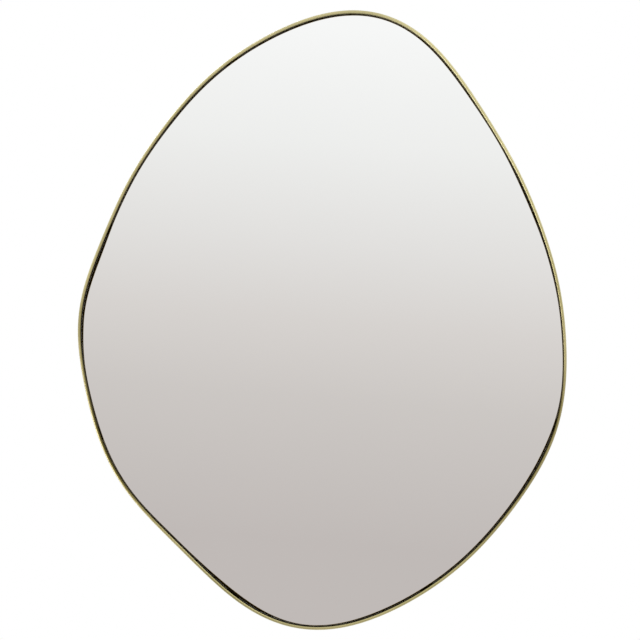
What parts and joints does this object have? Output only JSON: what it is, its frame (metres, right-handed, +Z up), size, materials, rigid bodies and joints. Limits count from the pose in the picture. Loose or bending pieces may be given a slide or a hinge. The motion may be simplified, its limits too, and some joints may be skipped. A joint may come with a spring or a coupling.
{
  "type": "irregular shaped mirror",
  "caption": "Pebble-shaped wall mirror: silvered glass recessed in a thin bent metal band on a black board, with swinging ring hangers and rubber bumpers behind.",
  "frame": {"origin": "on the wall plane, behind the middle of the outline's width and height", "axes": "+X right and +Z up as the mirror hangs, seen from the front; +Y into the wall, so the glass faces -Y"},
  "size_m": [0.71, 0.027, 0.9],
  "materials": {
    "frame_brass": "brushed pale antique brass",
    "black_board": "black lacquered fibreboard",
    "silvered_glass": "4 mm silvered float glass, polished edge",
    "foam_tape": "white foam tape",
    "lug_steel": "mild steel, clear coated",
    "screw_steel": "zinc plated",
    "hanger_steel": "bright zinc plated",
    "bumper_rubber": "matt black rubber"
  },
  "bodies": {
    "mirror_body": {"frame_band": "frame_brass", "backboard": "black_board", "mirror_glass": "silvered_glass", "mounting_tape_1": "foam_tape", "mounting_tape_2": "foam_tape", "mounting_tape_3": "foam_tape", "mounting_tape_4": "foam_tape", "mounting_tape_5": "foam_tape", "frame_lug_1": "lug_steel", "frame_lug_2": "lug_steel", "frame_lug_3": "lug_steel", "frame_lug_4": "lug_steel", "frame_lug_5": "lug_steel", "frame_lug_6": "lug_steel", "frame_lug_7": "lug_steel", "frame_lug_8": "lug_steel", "lug_screw_1": "screw_steel", "lug_screw_2": "screw_steel", "lug_screw_3": "screw_steel", "lug_screw_4": "screw_steel", "lug_screw_5": "screw_steel", "lug_screw_6": "screw_steel", "lug_screw_7": "screw_steel", "lug_screw_8": "screw_steel", "hanger_strap_left": "hanger_steel", "hanger_strap_right": "hanger_steel", "hanger_screw_left_1": "screw_steel", "hanger_screw_left_2": "screw_steel", "hanger_screw_right_1": "screw_steel", "hanger_screw_right_2": "screw_steel", "bumper_1": "bumper_rubber", "bumper_2": "bumper_rubber", "bumper_3": "bumper_rubber", "bumper_4": "bumper_rubber"},
    "left_ring_body": {"hanger_ring_left": "hanger_steel"},
    "right_ring_body": {"hanger_ring_right": "hanger_steel"}
  },
  "joints": [
    {"name": "left_ring_swing", "type": "hinge", "parent": "mirror_body", "child": "left_ring_body", "pos_m": [-0.15421, -0.004, 0.25], "axis": [-1, 0, 0], "range_deg": [0, 171.9]},
    {"name": "right_ring_swing", "type": "hinge", "parent": "mirror_body", "child": "right_ring_body", "pos_m": [0.16578, -0.004, 0.25], "axis": [-1, 0, 0], "range_deg": [0, 171.9]}
  ]
}
